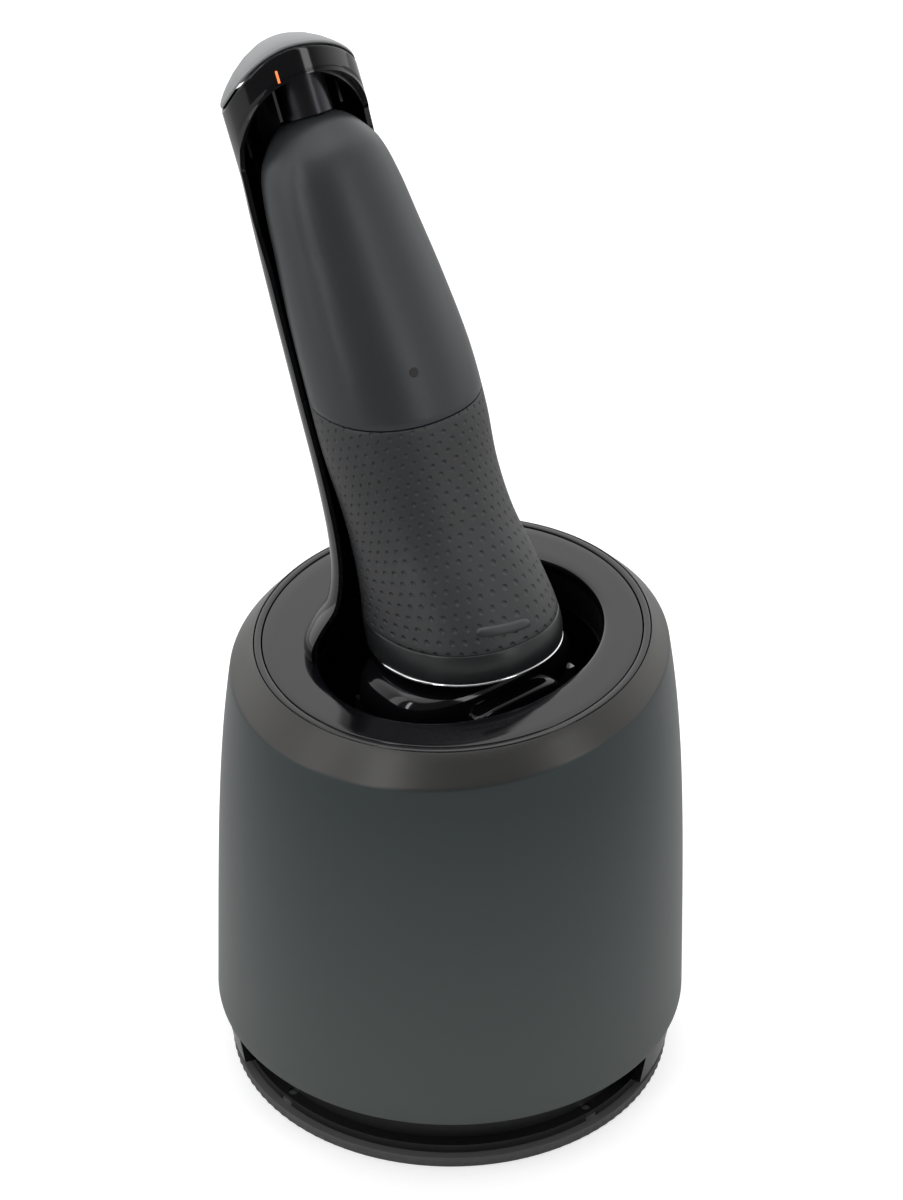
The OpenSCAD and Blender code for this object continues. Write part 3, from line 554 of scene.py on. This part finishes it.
def arch_edge(f, d):
    """Angle on the hood and height of the arch's edge, d outside it, at the
    share f of the way from its left springing to its right one."""
    widest = on_arch(RIGHT_T)[0] - 0.06
    start = math.acos((widest / (ARCH_A + d)) ** (ARCH_POWER / 2))
    q = math.pi - start - (math.pi - 2 * start) * f
    across, up = oval(ARCH_A + d, ARCH_TOP - ARCH_LOW + d, q, ARCH_POWER)
    if across > 0:
        t = solve(TOP_T, RIGHT_T, lambda t: on_arch(t)[0] > across)
    else:
        t = solve(LEFT_T - 2 * math.pi, TOP_T,
                  lambda t: on_arch(t)[0] > across)
    return t, ARCH_LOW + up


def arm():
    back, front = 64, 110
    rings = []
    for s in steps(-4, 4, 8) + steps(5, 30, 18) + steps(33, TOP_S - 30, 24) \
            + steps(TOP_S - 28, TOP_S, 16):
        tilt = math.radians(table_value(ARM_ROWS, s, 1))
        shift, a, b = (table_value(ARM_ROWS, s, k) for k in (2, 3, 4))
        rim = RIGHT_T * ease(TOP_S - 30, TOP_S, s)
        ring = []
        for i in range(back + 1):
            t = rim + math.pi * i / back
            x, y, z = on_section(s, tilt, a * math.cos(t),
                                 shift + b * math.sin(t))
            if s < 9:
                z = max(z, deck_height(x) - 0.4)
            ring.append((x, y, z))
        rings.append(ring)
    verts, faces = loft(rings, closed=False)
    # the hood's band: columns round the back, then along the arch
    groove = ((0, 0), (0.55, 0), (0.7, 0.2), (1.0, 0.2), (1.15, 0), (1.6, 0))
    upper = 12
    columns = []
    for i in range(back + front):
        column = []
        if i <= back:
            t = RIGHT_T + math.pi * i / back
            base = [(t, HOOD_LOW, 0)] + [(t, arch_edge(0, d)[1], 0)
                                         for d, deep in groove[1:]]
        else:
            f = (i - back) / front
            fade = min(1, (math.sin(math.pi * f) * 4) ** 2)
            base = [arch_edge(f, d) + (deep * fade,) for d, deep in groove]
        for t, z, deep in base:
            column.append(((HOOD_A - deep) * math.cos(t),
                           HOOD_Y + (HOOD_B - deep) * math.sin(t), z))
        t, z, deep = base[-1]
        x, y = HOOD_A * math.cos(t), HOOD_Y + HOOD_B * math.sin(t)
        top = roof(x, y, 0) - rim_drop(t)
        column += [(x, y, z + (top - 0.5 - z) * k / upper)
                   for k in range(1, upper + 1)]
        for inset, drop in ((0.03, 0.2), (0.12, 0.06), (0.35, 0)):
            x = (HOOD_A - inset) * math.cos(t)
            y = HOOD_Y + (HOOD_B - inset) * math.sin(t)
            column.append((x, y, roof(x, y, 0) - rim_drop(t) - drop))
        columns.append([arm_point(*p) for p in column])
    rows = list(zip(*columns))
    more, band = loft(rows)
    faces += [tuple(i + len(verts) for i in f) for f in band]
    make("arm_hood", verts + more, faces, "drum", GLOSS,
         replaces=("arm_shell", "hood_band"), angle=50, bevel=0.3, merge=True,
         wall=ARM_WALL)


def roof_key():
    """The key that roofs the hood."""
    cols = 96
    thick = KEY_GAP + KEY_RIM
    crown = 2.6
    rings = []
    for share, inset, rise in (
            (0.5, 0, KEY_GAP), (1, 0.6, KEY_GAP), (1, 0.16, KEY_GAP + 0.06),
            (1, 0.1, KEY_GAP + 0.2), (1, 0.16, thick - 0.12),
            (1, 0.4, thick - 0.02), (1, 0.9, thick), (0.93, 0, thick),
            (0.85, 0, thick),
            (0.7, 0, thick), (0.5, 0, thick), (0.3, 0, thick),
            (0.1, 0, thick)):
        ring = []
        for i in range(cols):
            t = 2 * math.pi * i / cols
            x = (HOOD_A - inset) * share * math.cos(t)
            y = HOOD_Y + (HOOD_B - inset) * share * math.sin(t)
            z = roof(x, y, rise) - rim_drop(t) * share * share
            if rise > KEY_GAP + 0.3:
                z += crown * (1 - (share - inset / HOOD_B) ** 2)
            ring.append(arm_point(x, y, z))
        rings.append(ring)
    verts, faces = loft(rings, first=True, last=True)
    make("roof_key", verts, faces, "top_key", KEY,
         replaces=("top_key",), angle=60)


def indicator():
    """A short upright light in the band, at its left."""
    mid = math.atan2(-13.1 / HOOD_B, -9.3 / HOOD_A) - 0.08
    rows = []
    for z in steps(10.4, 13.4, 6):
        rows.append([arm_point((HOOD_A + 0.05) * math.cos(mid + w),
                               HOOD_Y + (HOOD_B + 0.05) * math.sin(mid + w), z)
                     for w in steps(-0.016, 0.016, 4)])
    verts, faces = loft(rows, closed=False)
    make("indicator_face", verts, faces, "drum", LAMP,
         replaces=("indicator_light",))


# ---------- shaver ----------
def handle_point(s, t, off=0.0):
    tilt = math.radians(table_value(HANDLE_ROWS, s, 1))
    x, b = oval(table_value(HANDLE_ROWS, s, 2) + off,
                table_value(HANDLE_ROWS, s, 3) + off, t, SKIN_POWER)
    return on_section(s, tilt, x, table_value(HANDLE_ROWS, s, 4) + b)


def part_line(t):
    """Distance along the shaver at which the back shell meets the grip."""
    s = PART_S
    for _ in range(12):
        b = oval(1, table_value(HANDLE_ROWS, s, 3), t, SKIN_POWER)[1]
        s = PART_S + (table_value(HANDLE_ROWS, s, 4)
                      + b) * math.tan(PART_SLOPE)
    return s


def at_height(t, h, off=0.0):
    """Distance at which the handle's skin is h above the neck's plane."""
    s = h
    for _ in range(14):
        s += (h - neck_height(handle_point(s, t, off))) * 0.85
    return s


COLS = 144
SKIN_ROUND = 128.7  # length of the grip's skin round the handle


def angles():
    """Columns round the handle, evenly spaced and starting at its front."""
    return [math.pi / 2 + 2 * math.pi * i / COLS for i in range(COLS)]


def with_uv(obj, rows, cols, s_of):
    """UV in millimetres: round the handle and along it."""
    layer = obj.data.uv_layers.new(name="skin")
    for poly in obj.data.polygons:
        ids = [obj.data.loops[li].vertex_index for li in poly.loop_indices]
        wrap = max(v % cols for v in ids) - min(v % cols for v in ids) > cols / 2
        for li, v in zip(poly.loop_indices, ids):
            col = v % cols
            if wrap and col == 0:
                col = cols
            row = s_of[min(v // cols, rows - 1)]
            layer.data[li].uv = (col * SKIN_ROUND / cols, row[v % cols])


def handle():
    ts = angles()
    line = [part_line(t) for t in ts]
    low = [at_height(t, COLLAR_H) for t in ts]
    # back shell
    rows = [[handle_point(line[i] + 0.9, t, -1.0) for i, t in enumerate(ts)],
            [handle_point(line[i] + 0.14, t, -0.45) for i, t in enumerate(ts)],
            [handle_point(line[i] + 0.14, t, -0.12) for i, t in enumerate(ts)],
            [handle_point(line[i] + 0.32, t, 0) for i, t in enumerate(ts)]]
    count = 66
    for k in range(1, count + 1):
        f = 1 - (1 - k / count) ** 1.6
        rows.append([handle_point(line[i] + 0.32
                                  + (HANDLE_L - line[i] - 0.32) * f, t)
                     for i, t in enumerate(ts)])
    for f, rise in ((0.8, 0.22), (0.5, 0.42), (0.15, 0.5)):
        end = [oval(END_A * f, END_DEPTH * f, t, SKIN_POWER) for t in ts]
        rows.append([arm_point(x, END_B + b, rise) for x, b in end])
    verts, faces = loft(rows, last=True)
    make("back_shell", verts, faces, "shaver", SHELL,
         replaces=("handle_back",), angle=60)
    # grip
    count = 46
    s_of = []
    rows = []
    for extra, off in ((0.9, -1.0), (0.12, -0.4), (0.12, -0.1)):
        rows.append([handle_point(low[i] + extra, t, off)
                     for i, t in enumerate(ts)])
        s_of.append([low[i] + extra for i in range(COLS)])
    for k in range(count + 1):
        f = k / count
        rows.append([handle_point(low[i] + 0.3 + (line[i] - low[i] - 0.6) * f,
                                  t, 0) for i, t in enumerate(ts)])
        s_of.append([low[i] + 0.3 + (line[i] - low[i] - 0.6) * f
                     for i in range(COLS)])
    for extra, off in ((-0.14, -0.12), (-0.14, -0.45), (-0.9, -1.0)):
        rows.append([handle_point(line[i] + extra, t, off)
                     for i, t in enumerate(ts)])
        s_of.append([line[i] + extra for i in range(COLS)])
    verts, faces = loft(rows)
    grip = make("grip_skin", verts, faces, "shaver", GRIP,
                replaces=("handle_grip",), angle=60)
    with_uv(grip, len(rows), COLS, s_of)
    # collar
    rows = []
    for h, off in ((LINE_H + 0.3, -1.2), (LINE_H + 0.05, -0.5),
                   (LINE_H + 0.05, -0.15), (LINE_H + 0.25, 0)):
        rows.append([handle_point(at_height(t, h, off), t, off) for t in ts])
    for h in steps(LINE_H + 0.8, COLLAR_H - 0.5, 6):
        rows.append([handle_point(at_height(t, h), t) for t in ts])
    for h, off in ((COLLAR_H - 0.12, -0.02), (COLLAR_H, -0.25),
                   (COLLAR_H, -1.0)):
        rows.append([handle_point(at_height(t, h, off), t, off) for t in ts])
    verts, faces = loft(rows)
    make("collar", verts, faces, "shaver", COLLAR,
         replaces=("neck_collar",), angle=60)
    # trim line
    rows = []
    for off, z in ((-2, 0), (-0.1, 0), (0.17, 0.15), (0.2, 0.4), (0.17, 0.65),
                   (-0.1, LINE_H), (-2, LINE_H)):
        ring = [oval(TRIM_A + off, TRIM_B + off, t, SKIN_POWER) for t in ts]
        rows.append([neck_point(x, TRIM_BACK + b, z) for x, b in ring])
    rows.append(rows[0])
    verts, faces = loft(rows)
    make("trim_band", verts, faces, "shaver", LINE,
         replaces=("trim_line",), angle=70, merge=True)


def front_panel():
    """The gloss front of the handle, towards the arm."""
    half, out = FRONT_A, 0.12
    rows = []
    low = at_height(math.pi / 2, COLLAR_H) + 0.3
    for s in steps(low, FRONT_TOP, 60):
        a = table_value(HANDLE_ROWS, s, 2)
        row = []
        for x, off in [(-half, -0.6), (-half, 0.0)] + [
                (x, out) for x in steps(-half + 0.25, half - 0.25, 20)] + [
                (half, 0.0), (half, -0.6)]:
            t = math.acos(max(-1, min(1, math.copysign(
                abs(x / a) ** 1.1, x))))
            row.append(handle_point(s, t, off))
        rows.append(row)
    verts, faces = loft(rows, closed=False)
    make("front_panel", verts, faces, "shaver", FRONT,
         replaces=("handle_front",), angle=60)


def rib():
    """The short raised rib low on the grip's back."""
    rows = []
    n = 26
    for k in range(n + 1):
        f = k / n
        size = 0.95 * math.sqrt(max(0.0, 1 - (2 * f - 1) ** 6))
        t = math.radians(-117 + 35 * f)
        row = []
        for i in range(12):
            q = math.pi * 2 * i / 12
            row.append(handle_point(12.6 - 1.4 * f + size * math.cos(q), t,
                                    size * 0.8 * math.sin(q) - 0.1))
        rows.append(row)
    verts, faces = loft(rows, first=True, last=True)
    make("grip_rib", verts, faces, "shaver", GRIP_PLAIN)


def dimple():
    """The small round mark low on the back shell."""
    s, t, n = 71.5, math.radians(-101), 24
    wide = 1 / table_value(HANDLE_ROWS, s, 2)
    rings = []
    for r, off in ((1.25, 0.02), (1.05, 0.07), (0.8, 0.05), (0.05, 0.03)):
        rings.append([handle_point(s + r * math.sin(2 * math.pi * i / n),
                                   t + r * wide * math.cos(2 * math.pi * i / n),
                                   off) for i in range(n)])
    verts, faces = loft(rings, last=True)
    make("back_dimple", verts, faces, "shaver", SEAL)


def head():
    cols = 96
    rows = []
    for dz, a, b in ((0.0, HEAD_A - 1.2, HEAD_B - 1.2),
                     (0.25, HEAD_A - 0.4, HEAD_B - 0.4),
                     (1.0, HEAD_A, HEAD_B), (4, HEAD_A, HEAD_B + 0.6),
                     (6.5, HEAD_A - 0.5, HEAD_B + 0.45),
                     (8.2, HEAD_A - 1.2, HEAD_B + 0.1),
                     (9.4, HEAD_A - 2.1, HEAD_B - 0.7),
                     (10.2, HEAD_A - 3.3, HEAD_B - 1.9),
                     (10.5, HEAD_A - 5.0, HEAD_B - 3.6)):
        rows.append([(oval(a, b, 2 * math.pi * i / cols, 2.8)[0],
                      RING_Y + oval(a, b, 2 * math.pi * i / cols, 2.8)[1],
                      RING_Z + HEAD_MID + dz) for i in range(cols)])
    verts, faces = loft(rows, first=True, last=True)
    make("head_body", verts, faces, "shaver_head", HEAD,
         replaces=("head_frame",), angle=60)
    # lock slider
    y0 = RING_Y - HEAD_B + LOCK_SEAT
    rows = []
    for d, inset in ((0, 0), (3, 0), (5.4, 0), (6.4, 0.15), (7.1, 0.55),
                     (7.45, 1.1), (7.6, 1.9)):
        ring = [oval(LOCK_A - inset, LOCK_B - inset, 2 * math.pi * i / 64, 3.4)
                for i in range(64)]
        rows.append([(x, y0 - d, RING_Z + LOCK_Z + z) for x, z in ring])
    verts, faces = loft(rows, first=True, last=True)
    make("lock_slider", verts, faces, "head_lock", HEAD,
         replaces=("head_lock",), angle=60)


# ---------- foot ----------
def foot():
    rings = []
    n = 720
    for i in range(n):
        t = 2 * math.pi * i / n
        wave = RIB_DEPTH * (1 + math.cos(t * RIBS)) / 2
        column = []
        for r, z in ((FOOT_R - FOOT_IN, 0.0), (FOOT_R - 0.5, 0.0),
                     (FOOT_R - 0.1 - wave, 0.35), (FOOT_R - wave, 1.9),
                     (FOOT_R, 2.5), (FOOT_R, FOOT_H), (FOOT_R - FOOT_IN, FOOT_H)):
            column.append((r * math.cos(t), r * math.sin(t), z))
        rings.append(column)
    rings.append(rings[0])
    verts, faces = loft(rings)
    make("foot_rubber", verts, faces, "base", FOOT,
         replaces=("foot_ring",), angle=50, merge=True)


drum()
border()
deck()
arm()
roof_key()
indicator()
handle()
front_panel()
rib()
dimple()
head()
foot()


# ---------- camera ----------
def camera():
    data = bpy.data.cameras.new("camera")
    obj = bpy.data.objects.new("camera", data)
    bpy.context.scene.collection.objects.link(obj)
    data.sensor_width = 36
    data.lens = 110.64
    data.clip_end = 10
    forward = Vector((0.5392, 0.6426, -0.5444)).normalized()
    roll = math.radians(0.335)
    right = forward.cross(Vector((0, 0, 1))).normalized()
    up = right.cross(forward)
    side = right * math.cos(roll) + up * math.sin(roll)
    up = side.cross(forward)
    turn = Matrix((side, up, -forward)).transposed()
    obj.matrix_world = Matrix.Translation(
        Vector((-501.5, -597.4, 643.3)) * MM) @ turn.to_4x4()
    bpy.context.scene.camera = obj


camera()
world = bpy.data.worlds.new("studio")
bpy.context.scene.world = world
world.use_nodes = True
sky = world.node_tree.nodes["Background"]
sky.inputs["Color"].default_value = (1, 1, 1, 1)


def smooth(tree, value, low, high, start, end):
    span = tree.nodes.new("ShaderNodeMapRange")
    span.interpolation_type = "SMOOTHSTEP"
    for name, v in (("From Min", low), ("From Max", high), ("To Min", start),
                    ("To Max", end)):
        span.inputs[name].default_value = v
    tree.links.new(value, span.inputs["Value"])
    return span.outputs["Result"]


def along(tree, where, direction):
    node = tree.nodes.new("ShaderNodeVectorMath")
    node.operation = "DOT_PRODUCT"
    node.inputs[1].default_value = direction
    tree.links.new(where, node.inputs[0])
    return node.outputs["Value"]


def studio_light(tree):
    """Brightness of the room in every direction: bright behind the station,
    dim where the onlooker stands, with two tall windows and a ceiling."""
    where = tree.nodes.new("ShaderNodeTexCoord").outputs["Generated"]
    split = tree.nodes.new("ShaderNodeSeparateXYZ")
    tree.links.new(where, split.inputs[0])
    up = split.outputs[2]
    light = smooth(tree, along(tree, where, (-0.62, -0.74, 0.25)),
                   -0.45, 0.6, 1.5, 0.12)
    ceiling = smooth(tree, up, 0.80, 0.92, 0.0, 1.3)
    light = math_node(tree, "ADD", light, ceiling)
    for turn, half, low, high, power in ((-171, 0.055, 0.12, 0.75, 7.0),
                                         (-72, 0.10, 0.05, 0.70, 3.2),
                                         (158, 0.16, -0.2, 0.85, 1.6)):
        a = math.radians(turn)
        across = math_node(tree, "ABSOLUTE", along(
            tree, where, (-math.sin(a), math.cos(a), 0)))
        pane = smooth(tree, across, half * 0.85, half, power, 0.0)
        for value, edge, way in ((up, low, 1), (up, high, -1)):
            gate = smooth(tree, value, edge - 0.03, edge + 0.03,
                          *((0.0, 1.0) if way > 0 else (1.0, 0.0)))
            pane = math_node(tree, "MULTIPLY", pane, gate)
        facing = smooth(tree, along(tree, where, (math.cos(a), math.sin(a), 0)),
                        0.0, 0.1, 0.0, 1.0)
        light = math_node(tree, "ADD", light,
                          math_node(tree, "MULTIPLY", pane, facing))
    return light


def seen(tree, other):
    """White for the camera's own rays, and the other value for the rest."""
    ray = tree.nodes.new("ShaderNodeLightPath").outputs["Is Camera Ray"]
    rest = math_node(tree, "SUBTRACT", 1.0, ray)
    return math_node(tree, "ADD", ray, math_node(tree, "MULTIPLY", rest, other))


world.node_tree.links.new(seen(world.node_tree, studio_light(world.node_tree)),
                          sky.inputs["Strength"])


def floor():
    side = 4.0
    mesh = bpy.data.meshes.new("floor")
    mesh.from_pydata([(x * side, y * side, -0.0002) for x, y in
                      ((-1, -1), (1, -1), (1, 1), (-1, 1))], [], [(0, 1, 2, 3)])
    obj = bpy.data.objects.new("floor", mesh)
    bpy.context.scene.collection.objects.link(obj)
    mat = bpy.data.materials.new("floor_white")
    tree, shader = nodes_of(mat)
    shader.inputs["Base Color"].default_value = (0.55, 0.55, 0.55, 1)
    shader.inputs["Roughness"].default_value = 0.9
    shader.inputs["Specular IOR Level"].default_value = 0.0
    shader.inputs["Emission Color"].default_value = (1, 1, 1, 1)
    ray = tree.nodes.new("ShaderNodeLightPath").outputs["Is Camera Ray"]
    tree.links.new(math_node(tree, "MULTIPLY", ray, 0.62),
                   shader.inputs["Emission Strength"])
    mesh.materials.append(mat)


floor()
bpy.context.scene.view_settings.view_transform = "Standard"
bpy.context.scene.view_settings.look = "None"
